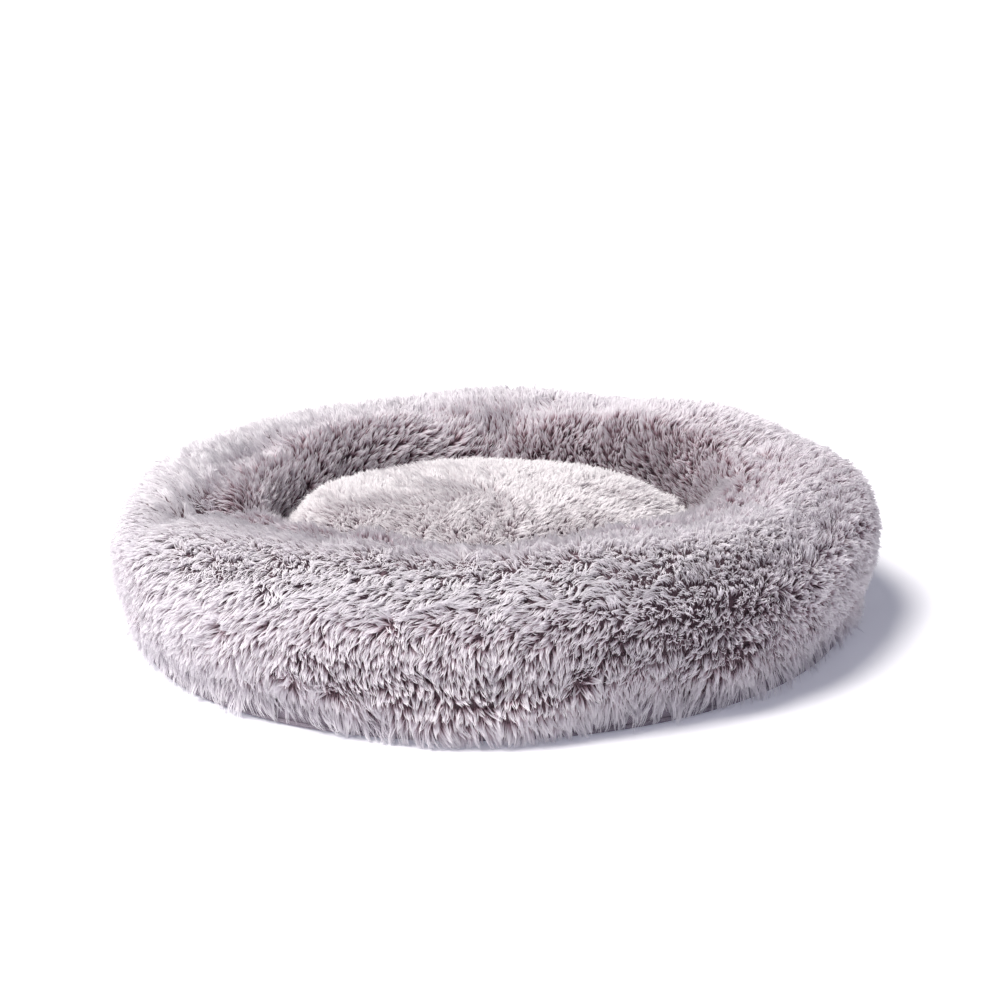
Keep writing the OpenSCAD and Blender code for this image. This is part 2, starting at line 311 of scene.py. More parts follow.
# %% Cloth simulation
def simulate(name, points, u_seams, v_seams, pinned, uneven, cap, pressure=4.0, frames=16):
    """Movement of a tube of cloth along its normals, as an array over its grid. points[i, j] is the
    place at step i round the bed and j round the section, both closed. The arrays u_seams and v_seams
    mark seams, pinned what doesn't move, and uneven how hard the filling presses."""
    nu, nv = points.shape[:2]
    at = np.arange(nu * nv).reshape(nu, nv)
    right, far = np.roll(at, -1, 0), np.roll(at, -1, 1)
    faces = np.stack([at, right, np.roll(right, -1, 1), far], -1).reshape(-1, 4)
    mesh = bpy.data.meshes.new(name)
    mesh.from_pydata(points.reshape(-1, 3).tolist(), [], faces.tolist())
    obj = bpy.data.objects.new(name, mesh)
    scene = bpy.context.scene
    scene.collection.objects.link(obj)
    groups = {"pin": pinned, "seam": np.maximum(u_seams, v_seams), "press": uneven}
    for key, weights in groups.items():
        group = obj.vertex_groups.new(name=key)
        levels = np.round(np.clip(weights, 0, 1).reshape(-1) * 10).astype(int)
        for level in range(1, 11):
            group.add(np.flatnonzero(levels == level).tolist(), level / 10, "REPLACE")
    cloth = obj.modifiers.new("cloth", "CLOTH")
    settings = cloth.settings
    settings.quality, settings.mass = 6, 0.25
    settings.tension_stiffness = settings.compression_stiffness = 18
    settings.shear_stiffness, settings.bending_stiffness = 8, 0.4
    settings.use_pressure, settings.uniform_pressure_force = True, pressure
    settings.vertex_group_pressure, settings.vertex_group_mass = "press", "pin"
    settings.vertex_group_shrink = "seam"
    settings.shrink_min, settings.shrink_max = -0.05, 0.06
    settings.effector_weights.gravity = 0
    cloth.point_cache.frame_start, cloth.point_cache.frame_end = 1, frames
    for frame_number in range(1, frames + 1):
        scene.frame_set(frame_number)
    done = obj.evaluated_get(bpy.context.evaluated_depsgraph_get()).to_mesh()
    moved = np.empty(nu * nv * 3)
    done.vertices.foreach_get("co", moved)
    bpy.data.objects.remove(obj)
    bpy.data.meshes.remove(mesh)
    scene.frame_set(1)
    along_u = np.roll(points, -1, 0) - np.roll(points, 1, 0)
    along_v = np.roll(points, -1, 1) - np.roll(points, 1, 1)
    normal = unit(np.cross(along_u, along_v))
    move = ((moved.reshape(nu, nv, 3) - points) * normal).sum(-1)
    move = np.clip(np.nan_to_num(move - np.median(move)), -cap, cap)
    for axis in (0, 1):
        move = (np.roll(move, 1, axis) + 2 * move + np.roll(move, -1, axis)) / 4
    print(f"{name}: moved {move.min() * 1000:.1f} to {move.max() * 1000:.1f} mm")
    return move


def closed_field(values, v_low):
    """Smooth reading of a grid that is closed both ways: f(u, v) mixes the four nearest grid values."""
    nu, nv = values.shape

    def field(u, v):
        x = np.mod(u / (2 * np.pi), 1) * nu
        y = np.mod((v - v_low) / (2 * np.pi), 1) * nv
        i, j = np.floor(x).astype(int), np.floor(y).astype(int)
        a, b = x - i, y - j
        a, b = a * a * (3 - 2 * a), b * b * (3 - 2 * b)
        i0, i1, j0, j1 = i % nu, (i + 1) % nu, j % nv, (j + 1) % nv
        low = values[i0, j0] * (1 - a) + values[i1, j0] * a
        high = values[i0, j1] * (1 - a) + values[i1, j1] * a
        return low * (1 - b) + high * b

    return field


# %% The ring's skin
RING_LUMP = 1.6 * MM
RING_RISE = 9 * MM  # how much fuller the ring is along the crown at the front
RING_PLUMP = 10.5 * MM  # how far the stuffing pushes the outer shoulder out
PUCKERS = (  # (degrees round the bed, degrees round the section, width across, height, depth in mm)
    (199, 96, 6.0, 40, 24),
    (239, 118, 4.0, 28, 6),
    (330, 118, 4.0, 34, 4),
    (18, 115, 4.0, 32, 6),
    (62, 110, 4.5, 36, 6),
    (104, 115, 4.0, 34, 5),
    (150, 112, 4.5, 36, 7),
)
PANEL_SEAMS, SEAM_DIP = (90, 270), 2.5 * MM
ring_lumps = wave_field(11, 26, 9, 2.4)


def ring_base(u, v, swell):
    """The superellipse round a circle, moved out by swell along its normals."""
    x, z = superellipse(v, liner_half_w, liner_half_h, RING_FULLNESS)
    nx, nz = x / liner_half_w**2, z / liner_half_h**2
    length = np.hypot(nx, nz)
    x, z = x + swell * nx / length, z + swell * nz / length
    return polar(ring_mid_r + x, u, ring_mid_z + z)


def simulated_ring(nu=216, nv=48):
    uu, vv = np.meshgrid(circle(nu), -np.pi + circle(nv), indexing="ij")
    outside = vv < np.pi / 2
    seam = sum(bell(uu, math.radians(a), 0.03) for a in PANEL_SEAMS) * outside
    crown = bell(vv, np.pi / 2, 0.12)
    pinned = np.where(bell(vv, -np.pi / 2, 0.75) > 0.5, 1.0, 0.0)
    uneven = 0.62 + 0.3 * wave_field(12, 30, 12, 3.0)(uu, vv)
    move = simulate("ring_cover", ring_base(uu, vv, 0.0), seam, crown, pinned, uneven, 7 * MM)
    return closed_field(move, -np.pi)


ring_swell = simulated_ring()
SWELL_SIZE = 1.0


def ring_point(u, v, out=0.0):
    """Skin of the ring. u is the angle round the bed, v the angle round the section, 0 at the outer
    side, a quarter turn at the crown. The section is a superellipse round a circle, grown by out, by
    the simulated stuffing and by wide lumps; each pucker and panel seam is a bell-shaped dip."""
    swell = SWELL_SIZE * ring_swell(u, v) + RING_LUMP * ring_lumps(u, v) + out
    swell = swell + RING_PLUMP * bell(v, 0.55, 0.85)
    swell = swell + RING_RISE * bell(u, 4.6, 1.0) * bell(v, 1.65, 0.6)
    for at_u, at_v, wide, high, deep in PUCKERS:
        dip = bell(u, math.radians(at_u), math.radians(wide))
        dip = dip * bell(v, math.radians(at_v), math.radians(high))
        swell = swell - deep * MM * dip
    for seam in PANEL_SEAMS:
        swell = swell - SEAM_DIP * bell(u, math.radians(seam), 0.02) * bell(v, 0.5, 1.1)
    return ring_base(u, v, swell)


# %% The cushion's skin
CUSHION_LUMP = 1.5 * MM
CUSHION_PLUMP = 10 * MM  # how far the stuffing bulges at the left end, against the ring
DOME_FULLNESS, SIDE_FULLNESS = 2.7, 3.6
cushion_belly_z = 59.4 * MM  # the height of the widest line
SWELL_END, SWELL_FADE = 1.95, 0.4  # where down the side the swell ends, and over how long, in radians
cushion_lumps = wave_field(23, 22, 6, 3.0)


def cushion_base(u, v, swell):
    """Two superellipse quarters, one above the widest line and one below, moved out by swell."""
    t = np.pi / 2 - v
    up, down = cushion_z[1] - cushion_belly_z, cushion_belly_z - cushion_z[0]
    top_x, top_z = superellipse(t, cushion_half_w, up, DOME_FULLNESS)
    low_x, low_z = superellipse(t, cushion_half_w, down, SIDE_FULLNESS)
    x, z = np.where(t >= 0, top_x, low_x), np.where(t >= 0, top_z, low_z)
    nx, nz = x / cushion_half_w**2, z / np.where(t >= 0, up, down) ** 2
    length = np.maximum(np.hypot(nx, nz), 1e-9)
    x, z = x + swell * nx / length, z + swell * nz / length
    return polar(x, u, cushion_belly_z + z) * [1, -1, 1]


def simulated_cushion(nu=144, nv=80):
    """The cushion's section is read once down one side only, so its closed grid runs from pole to
    pole and straight back, and the half that comes back is a copy that stays pinned."""
    uu, vv = np.meshgrid(circle(nu), circle(nv), indexing="ij")
    down = np.clip(np.minimum(vv, 2 * np.pi - vv), 0.03, np.pi - 0.03)
    points = cushion_base(uu, down, np.where(vv > np.pi, -25 * MM, 0.0))
    pinned = np.where((vv > np.pi - 0.9) | (vv < 0.08), 1.0, 0.0)
    seam = bell(vv, np.pi / 2 + 0.75, 0.1)
    uneven = 0.6 + 0.3 * wave_field(24, 26, 7, 3.0)(uu, vv)
    move = simulate("cushion_cover", points, 0 * seam, seam, pinned, uneven, 6 * MM)
    return closed_field(np.where(vv > np.pi, 0.0, move), 0.0)


cushion_swell = simulated_cushion()


def cushion_point(u, v, out=0.0):
    """Skin of the cushion, from v = 0 at the middle of the dome to a right angle at the widest line
    and on down the side, grown by out, by the simulated stuffing and by wide lumps, the last two of
    which die at the pole and above the zip. u turns clockwise, so that the tangents' cross product
    points outwards."""
    fade = np.sin(np.minimum(v, np.pi / 2)) ** 2 * np.clip((SWELL_END - v) / SWELL_FADE, 0, 1)
    swell = out + (CUSHION_LUMP * cushion_lumps(u, v) + SWELL_SIZE * cushion_swell(u, v)) * fade
    swell = swell + CUSHION_PLUMP * bell(u, 3.3, 0.9) * bell(v, 1.0, 0.4)
    return cushion_base(u, v, swell)


def frame_on(point, u, v):
    """Place, outward normal and the two unit tangents of a surface, by central differences."""
    step = 1e-3
    along_u = point(u + step, v) - point(u - step, v)
    along_v = point(u, v + step) - point(u, v - step)
    return point(u, v), *(unit(x) for x in (np.cross(along_u, along_v), along_u, along_v))


# %% [markdown]
# ## Pile
# Faux fur is a knitted backing with long fibres that gather into pointed locks. Hair curves would
# be the quick way, but they aren't part of an exported model, so each fibre bundle here is a narrow
# ribbon of five triangles that starts upright, bends over along a combing direction and ends in a
# point. Several ribbons share one lock: their roots are spread and their tips meet.
# Several ribbons share one lock: their roots are spread and their tips meet.

# %% Ribbons
SEGMENTS = 3
PROFILE = (0.75, 1.0, 0.7)  # the width at the start of each segment, as a share of the full width


def lay_ribbons(root, normal, comb, length, lift, lie, width, roll, tip_shift):
    """Ribbons as one mesh. Each centre line starts lift radians from the normal and ends lie radians
    from it, in the plane of the normal and comb, so a point at share s lies at the sum of its short
    steps; tip_shift moves it by s squared. The width falls to nothing at the tip."""
    n = len(root)
    places, sides = [root], []
    at = root
    for k in range(SEGMENTS):
        s = (k + 0.5) / SEGMENTS
        lean = (lift + (lie - lift) * s)[:, None]
        step = np.cos(lean) * normal + np.sin(lean) * comb
        side = unit(np.cross(step, normal))
        up = np.cross(side, step)
        sides.append(side * np.cos(roll)[:, None] + up * np.sin(roll)[:, None])
        at = at + step * (length / SEGMENTS)[:, None]
        places.append(at + tip_shift * ((k + 1) / SEGMENTS) ** 2)
    points = np.empty((n, 2 * SEGMENTS + 1, 3))
    for k in range(SEGMENTS):
        half = (PROFILE[k] * width / 2)[:, None] * sides[k]
        points[:, 2 * k] = places[k] - half
        points[:, 2 * k + 1] = places[k] + half
    points[:, -1] = places[-1]
    return points


def ribbon_mesh(name, points, tone, surface_normal, softness=0.15):
    """Mesh of ribbons, two quads and a triangle each, whose UV map holds (shade, share of length), the
    share starting from the one in tone. The shading normals lean a little towards the skin's."""
    n, per = points.shape[:2]
    base = (np.arange(n) * per)[:, None]
    quads = base + np.array([[0, 1, 3, 2, 2, 3, 5, 4]])
    tips = base + np.array([[4, 5, 6]])
    corners = np.concatenate([quads, tips], 1).ravel().astype(np.int32)
    starts = (np.arange(n)[:, None] * 11 + np.array([[0, 4, 8]])).ravel().astype(np.int32)
    mesh = bpy.data.meshes.new(name)
    mesh.vertices.add(n * per)
    mesh.vertices.foreach_set("co", points.astype(np.float32).ravel())
    mesh.loops.add(len(corners))
    mesh.loops.foreach_set("vertex_index", corners)
    mesh.polygons.add(3 * n)
    mesh.polygons.foreach_set("loop_start", starts)
    mesh.update(calc_edges=True)
    mesh.polygons.foreach_set("use_smooth", np.ones(3 * n, bool))
    share = np.repeat(np.arange(SEGMENTS + 1), [2] * SEGMENTS + [1]) / SEGMENTS
    # start is how much of the dark root is skipped; on the ring this includes painted light
    shade, start = (np.repeat(column, per) for column in tone)
    uv = np.stack([shade, start + (1 - start) * np.tile(share, n)], 1)[corners]
    layer = mesh.uv_layers.new(name="OFBake")
    layer.uv.foreach_set("vector", uv.astype(np.float32).ravel())
    across = points[:, 1] - points[:, 0]
    along = points[:, -1] - points[:, 0]
    own = unit(np.cross(across, along))
    own *= np.sign((own * surface_normal).sum(1, keepdims=True))
    mixed = unit(softness * surface_normal + (1 - softness) * own)
    mesh.normals_split_custom_set_from_vertices(np.repeat(mixed, per, 0).astype(np.float32))
    obj = bpy.data.objects.new(name, mesh)
    bpy.context.scene.collection.objects.link(obj)
    return obj


# %% Lock roots
def scatter(draw, point, u_range, v_range, pitch):
    """Roots on a jittered lattice, pitch apart both ways: rows at equal steps along the section, and
    in each row a whole number of places round the bed, so that the density is even everywhere."""
    v = np.linspace(*v_range, 400)
    line = point(np.zeros_like(v), v)
    run = np.r_[0, np.cumsum(np.linalg.norm(np.diff(line, axis=0), axis=1))]
    rows = max(1, round(run[-1] / pitch))
    row_run = (np.arange(rows) + 0.5) / rows * run[-1]
    row_v = np.interp(row_run, run, v)
    radius = np.linalg.norm(point(np.zeros(rows), row_v)[:, :2], axis=1)
    turn = u_range[1] - u_range[0]
    count = np.maximum(1, np.round(radius * turn / pitch)).astype(int)
    row = np.repeat(np.arange(rows), count)
    place = np.arange(len(row)) - np.repeat(np.cumsum(count) - count, count)
    u = u_range[0] + (place + 0.5 + draw.uniform(-0.45, 0.45, len(row))) / count[row] * turn
    shifted = row_run[row] + draw.uniform(-0.45, 0.45, len(row)) * pitch
    return u, np.interp(shifted, run, v)


# %% Combing of the ring's pile
swirl_wide = wave_field(5, 24, 9, 5.0, 0.6)
swirl_fine = wave_field(6, 48, 60, 26.0, 0.3)
lift_field = wave_field(7, 48, 64, 28.0, 0.3)
spot_draw = np.random.default_rng(40)
PARTING_COUNT = 44
PARTINGS = [  # (angle round the bed, angle round the section, reach in mm) of each spot where it parts
    (
        2 * np.pi * (k + spot_draw.uniform(0.1, 0.9)) / PARTING_COUNT,
        spot_draw.uniform(-0.7, 2.9),
        spot_draw.uniform(7, 15),
    )
    for k in range(PARTING_COUNT)
]
FLOW = (  # (degrees round the bed, degrees that the pile is turned from straight down)
    (0, 62), (40, 20), (80, -25), (120, 30), (160, -15), (196, -42),
    (225, -30), (248, -8), (270, 12), (288, 48), (312, 78), (338, 76), (360, 62),
)


def ring_combing(u, v):
    """Unit combing direction along the two tangents. The pile runs down the outer wall and is turned
    from there by the flow round the bed and by noise; near a parting it points away from it."""
    places, turns = np.array(FLOW).T
    turn = np.radians(np.interp(np.degrees(u) % 360, places, turns)) * np.cos(np.clip(v - 0.35, 0, 1.2))
    turn = turn + 0.42 * swirl_wide(u, v) + 0.34 * swirl_fine(u, v)
    cu, cv = -np.sin(turn), -np.cos(turn)
    for at_u, at_v, reach in PARTINGS:
        du = around(u, at_u) * (ring_mid_r + liner_half_w)
        dv = (v - at_v) * (liner_half_w + liner_half_h) / 2
        far = np.hypot(du, dv) + 1e-6
        pull = 1.6 * hump(far, 0, reach * MM)
        cu, cv = cu + pull * du / far, cv + pull * dv / far
    size = np.hypot(cu, cv) + 1e-9
    return cu / size, cv / size


# %% Growing a pile
HEM_LONGER, HEM_REACH = 1.1, 0.16  # how much longer the pile is at the hem, and how far up, in radians
LIE_NOISE, LIFT_SHARE = 0.16, 0.38  # smooth change of the lean, and how much of it there is at the root
ROOT_SPREAD, TIPS_MEET = 0.42, 0.85  # roots stray by this share of the pitch, and tips make up for this


def grow(seed, point, combing, u_range, v_range, pitch, strands, length, width, lie, pale_roots_and_painted_light, lowest):
    """Locks on point's surface over a patch of it: returns the ribbons' points, tones and normals.
    lie(u, v) is how far the tips lean from the normal; the paleness argument gives, at (u, v), the share of
    the frosting that the roots have already, which on the ring is painted light; and lowest(u) is the height
    that no ribbon goes below."""
    draw = np.random.default_rng(seed)
    u, v = scatter(draw, point, u_range, v_range, pitch)
    root, normal, tu, tv = frame_on(point, u, v)
    cu, cv = combing(u, v)
    comb = cu[:, None] * tu + cv[:, None] * tv
    locks = len(u)
    hem = v_range[0] if v_range[0] < 0 else np.inf
    lock_len = length * draw.uniform(0.82, 1.12, locks) * (1 + HEM_LONGER * hump(v, hem, HEM_REACH))
    lock_lie = lie(u, v) + LIE_NOISE * lift_field(u, v) + draw.normal(0, 0.12, locks)
    lock_lift = LIFT_SHARE * lock_lie + draw.normal(0, 0.07, locks)
    lock_shade = draw.uniform(0, 1, locks)
    each = np.repeat(np.arange(locks), strands)
    n = len(each)
    across = np.cross(normal, comb)
    off = draw.normal(0, ROOT_SPREAD * pitch, (n, 2))
    spread = off[:, :1] * across[each] + off[:, 1:] * comb[each]
    points = lay_ribbons(
        root[each] + spread,
        normal[each],
        comb[each],
        lock_len[each] * draw.uniform(0.86, 1.06, n),
        lock_lift[each] + draw.normal(0, 0.05, n),
        lock_lie[each] + draw.normal(0, 0.05, n),
        width * draw.uniform(0.75, 1.2, n),
        draw.uniform(-0.7, 0.7, n),
        -TIPS_MEET * spread + draw.normal(0, 0.35 * MM, (n, 3)),
    )
    points[:, :, 2] = np.maximum(points[:, :, 2], lowest(u)[each][:, None])
    shade = np.clip(lock_shade[each] * 0.7 + 0.3 * draw.uniform(0, 1, n), 0, 1)
    return points, (shade, pale_roots_and_painted_light(u, v)[each]), normal[each]


# %% [markdown]
# ### Frosted faux fur
# The ring's fibre is dyed dark mauve-brown and its tips are bleached to a pale lilac, so a lying pile
# looks almost white and every gap between locks shows dark. The colour runs along each ribbon.


# %% Fur materials
THROUGH = 0.5  # the share of the light that a fibre lets through to its other side


def frosted_fur(name, stops, dull, bright):
    """Acrylic faux fur: colour by the share of a ribbon's length, and a little by its lock's shade."""
    material, tree, shader = new_material(name, 0.66, Sheen_Weight=0.3, Sheen_Roughness=0.45)
    uv = add(tree, "ShaderNodeUVMap", uv_map="OFBake").outputs["UV"]
    parts = add(tree, "ShaderNodeSeparateXYZ", {"Vector": uv}).outputs
    colour = ramp(tree, parts["Y"], stops)
    tone = map_range(tree, parts["X"], dull, bright)
    toned = add(tree, "ShaderNodeHueSaturation", {"Color": colour, "Value": tone}).outputs["Color"]
    tree.links.new(toned, shader.inputs["Base Color"])
    shader.inputs["Sheen Tint"].default_value = linear("#f6eef8")
    through = add(tree, "ShaderNodeBsdfTranslucent", {"Color": toned}).outputs["BSDF"]
    both = add(tree, "ShaderNodeMixShader", {1: shader.outputs["BSDF"], 2: through}, {0: THROUGH})
    tree.links.new(both.outputs["Shader"], tree.nodes["Material Output"].inputs["Surface"])
    return material


ring_fur = frosted_fur(
    "frosted_long_pile_acrylic_fur",
    ((0.0, "#5a434b"), (0.2, "#97757f"), (0.4, "#d3bfc8"), (0.62, "#efebf0"), (1.0, "#fbfafc")),
    0.92,
    1.05,
)
cushion_fur = frosted_fur(
    "frosted_dense_pile_acrylic_fur",
    ((0.0, "#7c6971"), (0.18, "#b6a6ae"), (0.36, "#e0d9dd"), (0.6, "#f3f0f2"), (1.0, "#fcfbfc")),
    0.93,
    1.05,
)
backing = woven("knitted_fur_backing", "#5d4a52", 1.1, 0.95)
lining = woven("plain_polyester_lining", "#e9e6e2", 0.4, 0.85)
filling = mottled("siliconised_polyester_fibre", "#dedcd8", "#fbfbf9", 0.9, 160.0, 1.5, Sheen_Weight=0.4)
plush = mottled("short_velboa_plush", "#a99da6", "#d9ced6", 0.92, 900.0, 0.8, Sheen_Weight=0.5)

# %% [markdown]
# ## The ring
# Each fur panel is a knitted backing and its pile. The pile is grown in sectors, so that no piece
# holds more triangles than an exported mesh should. Under the fur are the liner, a closed bag of
# plain cloth, and the filling that it holds, both following the same simulated skin.


# %% Skins and bags as grids
def numbered(nu, nv, close_u=False, close_v=False):
    """The numbers of nu by nv points in a grid, where a closed side has its first line again at the end."""
    at = np.arange(nu * nv).reshape(nu, nv)
    if close_u:
        at = np.vstack([at, at[:1]])
    return np.hstack([at, at[:, :1]]) if close_v else at


def grid_faces(at):
    """Quads between neighbouring entries of an array of vertex numbers."""
    a, b, c, d = at[:-1, :-1], at[1:, :-1], at[1:, 1:], at[:-1, 1:]
    return np.stack([a, b, c, d], -1).reshape(-1, 4)


def mesh_object(name, points, faces, smooth=True):
    mesh = bpy.data.meshes.new(name)
    mesh.from_pydata(np.asarray(points).tolist(), [], [f.tolist() for f in faces])
    mesh.polygons.foreach_set("use_smooth", np.full(len(mesh.polygons), smooth))
    mesh.validate()
    obj = bpy.data.objects.new(name, mesh)
    bpy.context.scene.collection.objects.link(obj)
    return obj


def skin_object(name, point, u_range, v_range, nu, nv, thickness):
    """A closed shell over a patch of a surface: the patch, the same patch sunk by thickness, and a
    strip of faces round their edges. A patch that goes all the way round is joined to itself."""
    whole = abs(u_range[1] - u_range[0] - 2 * np.pi) < 1e-6
    u = np.linspace(*u_range, nu, endpoint=not whole)
    v = np.linspace(*v_range, nv)
    uu, vv = np.meshgrid(u, v, indexing="ij")
    place, normal, _, _ = frame_on(point, uu, vv)
    points = np.concatenate([place.reshape(-1, 3), (place - thickness * normal).reshape(-1, 3)])
    at = numbered(nu, nv, close_u=whole)
    face = grid_faces(at)
    edges = [np.stack([at[:-1, 0], at[1:, 0]], 1)[:, ::-1], np.stack([at[:-1, -1], at[1:, -1]], 1)]
    if not whole:
        edges += [np.stack([at[0, :-1], at[0, 1:]], 1), np.stack([at[-1, :-1], at[-1, 1:]], 1)[:, ::-1]]
    rims = [np.stack([e[:, 0], e[:, 1], e[:, 1] + nu * nv, e[:, 0] + nu * nv], 1)[:, ::-1] for e in edges]
    return mesh_object(name, points, np.concatenate([face, face[:, ::-1] + nu * nv, *rims]))


def ring_bag(name, out, nu=180, nv=48):
    """A closed tube round the bed, out from the ring's simulated skin."""
    uu, vv = np.meshgrid(circle(nu), -np.pi + circle(nv), indexing="ij")
    points = ring_point(uu, vv, out).reshape(-1, 3)
    points[:, 2] = np.maximum(points[:, 2], base_top + 0.3 * MM - out)
    return mesh_object(name, points, grid_faces(numbered(nu, nv, close_u=True, close_v=True)))


def paint(obj, material):
    obj.data.materials.clear()
    obj.data.materials.append(material)


def wear(obj, material, body, slot, *nodes):
    """Gives a piece its material and the body that it moves with, and hides the nodes that it stands for;
    slot is not used.
    """
    paint(obj, material)
    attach(obj, body)
    if nodes:
        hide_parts(*nodes)
    return obj


FILLING_OUT = -1.6 * MM
base_top = box("base_panel")[1][2]
band_top = box("base_band")[1][2]
for name, out, material, slot, node in (
    ("ring_liner_bag", 0.0, lining, "lining", "ring_liner"),
    ("ring_filling", FILLING_OUT, filling, "filling", "ring_fill"),
):
    wear(ring_bag(name, out), material, "bed", slot, node)

# %% The ring's fur panels
SKIN_OUT, BACKING_THICK = 1.0 * MM, 0.8 * MM
RING_PILE = (3.8 * MM, 7, 11.5 * MM, 1.0 * MM)  # lock pitch, ribbons in a lock, their length and width
CUSHION_PILE = (3.0 * MM, 6, 9.5 * MM, 0.9 * MM)
HEM_V = angle_at(hem_z - ring_mid_z, liner_half_h, RING_FULLNESS)
FLOOR_V = np.pi - angle_at(floor_z - ring_mid_z, liner_half_h, RING_FULLNESS)
CROWN_V = np.pi / 2
ZIP_MIDDLE, ZIP_HALF = math.radians(90), math.radians(77)


def ring_skin(u, v):
    return ring_point(u, v, SKIN_OUT)


def ring_lowest(u):
    """The outer pile hangs down to the floor, but is kept short above the zip at the back."""
    off = np.abs(around(u, ZIP_MIDDLE))
    near = np.clip((ZIP_HALF + 0.06 - off) / 0.06, 0, 1)
    return 1.2 * MM + near * (band_top - 0.4 * MM)


well_lowest = everywhere(floor_z + 0.4 * MM)


def shoulder(u, v):
    """A bell over the front shoulder, just outside the crown, where the pile is brushed flat and its roots
    are painted paler as painted light.
    """
    return bell(u, 4.6, 0.9) * bell(v, 0.95, 0.4)


def ring_lie(u, v):
    """The pile lies flattest on the crown and at the left end, and stands up most at the right."""
    hem = 0.3 * hump(v, HEM_V, 0.2)
    return 0.86 + 0.4 * hump(v, 1.3, 0.75) - 0.1 * np.cos(u) + hem + 0.2 * shoulder(u, v)


def ring_pale_roots_painted_light(u, v):
    """Painted light: the dark roots are painted paler on the crown, most towards the sunlit left, round the
    left end that faces the sun, over the front shoulder and at the right front; they are also paler towards
    the hem. The pile does lie flatter on the crown, at the left end and on the shoulder, but this paleness is
    painted.
    """
    # painted light: the left end, which faces the sun, gets paler roots
    left = np.clip(-0.3 - 1.2 * np.cos(u - 0.1), 0, 1) * (v < 1.8)
    # painted light: paler roots on the crown, more so towards the sunlit left
    crown = (0.6 - 0.22 * np.cos(u)) * hump(v, 1.25, 0.65)
    hem = 0.25 * hump(v, HEM_V, 0.3)
    # painted light: paler roots round the left end, at the right front and over the front shoulder
    flat = 0.42 * left + 0.26 * bell(u, 5.3, 0.6) + 0.22 * shoulder(u, v)
    return np.clip(crown + hem + flat, 0, 0.68)


PANELS = (  # (node, first and last angle round the bed, first and last angle round the section, sectors)
    ("fur_outer_left", 0.5 * np.pi, 1.5 * np.pi, HEM_V, CROWN_V, 2),
    ("fur_outer_right", 1.5 * np.pi, 2.5 * np.pi, HEM_V, CROWN_V, 2),
    ("fur_inner", 0.0, 2 * np.pi, CROWN_V, FLOOR_V, 4),
)
total = 0
for number, (node, u0, u1, v0, v1, sectors) in enumerate(PANELS):
    inner = node == "fur_inner"
    steps = 360 if inner else 181
    skin = skin_object(node + "_backing", ring_skin, (u0, u1), (v0, v1), steps, 41, BACKING_THICK)
    wear(skin, backing, "bed", "ring_fur", node)
    for sector in range(sectors):
        step = (u1 - u0) / sectors
        patch = (u0 + sector * step, u0 + (sector + 1) * step)
        points, tone, normal = grow(
            100 + 10 * number + sector, ring_skin, ring_combing, patch, (v0, v1),
            *RING_PILE, ring_lie, ring_pale_roots_painted_light, well_lowest if inner else ring_lowest,
        )
        pile = ribbon_mesh(f"{node}_pile_{sector + 1}", points, tone, normal)
        wear(pile, ring_fur, "bed", "ring_fur", node)
        total += 5 * len(points)
print("ring pile:", total, "triangles")

# %% [markdown]
# ## The cushion
# The loose cushion is built the same way: filling, liner, backing and a shorter, denser pile, over a
# woven base with its own zip.


# %% The cushion's bags and fur
def cushion_skin(u, v):
    return cushion_point(u, v, SKIN_OUT)


cushion_swirl = wave_field(31, 26, 8, 7.0, 0.5)
cushion_fine = wave_field(32, 40, 40, 30.0, 0.4)


def cushion_combing(u, v):
    """Locks point outwards and down from the middle of the dome, turned by wide and fine noise."""
    turn = 0.7 * cushion_swirl(u, v) + 0.5 * cushion_fine(u, v)
    return np.sin(turn), np.cos(turn)


def cushion_bag(name, out, nu=144, nv=60):
    """A closed cushion, out from the simulated skin, with one point at each pole."""
    uu, vv = np.meshgrid(circle(nu), np.linspace(0.03, np.pi - 0.03, nv), indexing="ij")
    rings = cushion_point(uu, vv, out)
    poles = rings[:, [0, -1]].mean(0) * [0, 0, 1]
    at = numbered(nu, nv, close_u=True)
    first, last = nu * nv, nu * nv + 1
    caps = [np.stack([at[1:, 0], at[:-1, 0], 0 * at[1:, 0] + first], 1)]
    caps += [np.stack([at[:-1, -1], at[1:, -1], 0 * at[1:, 0] + last], 1)]
    return mesh_object(name, np.vstack([rings.reshape(-1, 3), poles]), [*grid_faces(at), *caps[0], *caps[1]])


for name, out, material, slot, node in (
    ("cushion_liner_bag", 0.0, lining, "lining", "cushion_liner"),
    ("cushion_filling", FILLING_OUT, filling, "filling", "cushion_fill"),
):
    wear(cushion_bag(name, out), material, "cushion", slot, node)

CUSHION_HEM_V = np.pi / 2 - angle_at(
    cushion_hem_z - cushion_belly_z, cushion_belly_z - cushion_z[0], SIDE_FULLNESS
)
skin = skin_object(
    "cushion_fur_backing", cushion_skin, (0, 2 * np.pi), (0.02, CUSHION_HEM_V), 240, 60, BACKING_THICK
)
wear(skin, backing, "cushion", "cushion_fur", "cushion_fur_top")
total = 0
CUSHION_SECTORS = 3
for sector in range(CUSHION_SECTORS):
    patch = (sector * 2 * np.pi / CUSHION_SECTORS, (sector + 1) * 2 * np.pi / CUSHION_SECTORS)
    points, tone, normal = grow(
        300 + sector, cushion_skin, cushion_combing, patch, (0.01, CUSHION_HEM_V),
        *CUSHION_PILE, everywhere(1.1), everywhere(0.22), everywhere(cushion_hem_z - 1 * MM),
    )
    pile = ribbon_mesh(f"cushion_pile_{sector + 1}", points, tone, normal)
    wear(pile, cushion_fur, "cushion", "cushion_fur", "cushion_fur_top")
    total += 5 * len(points)
print("cushion pile:", total, "triangles")

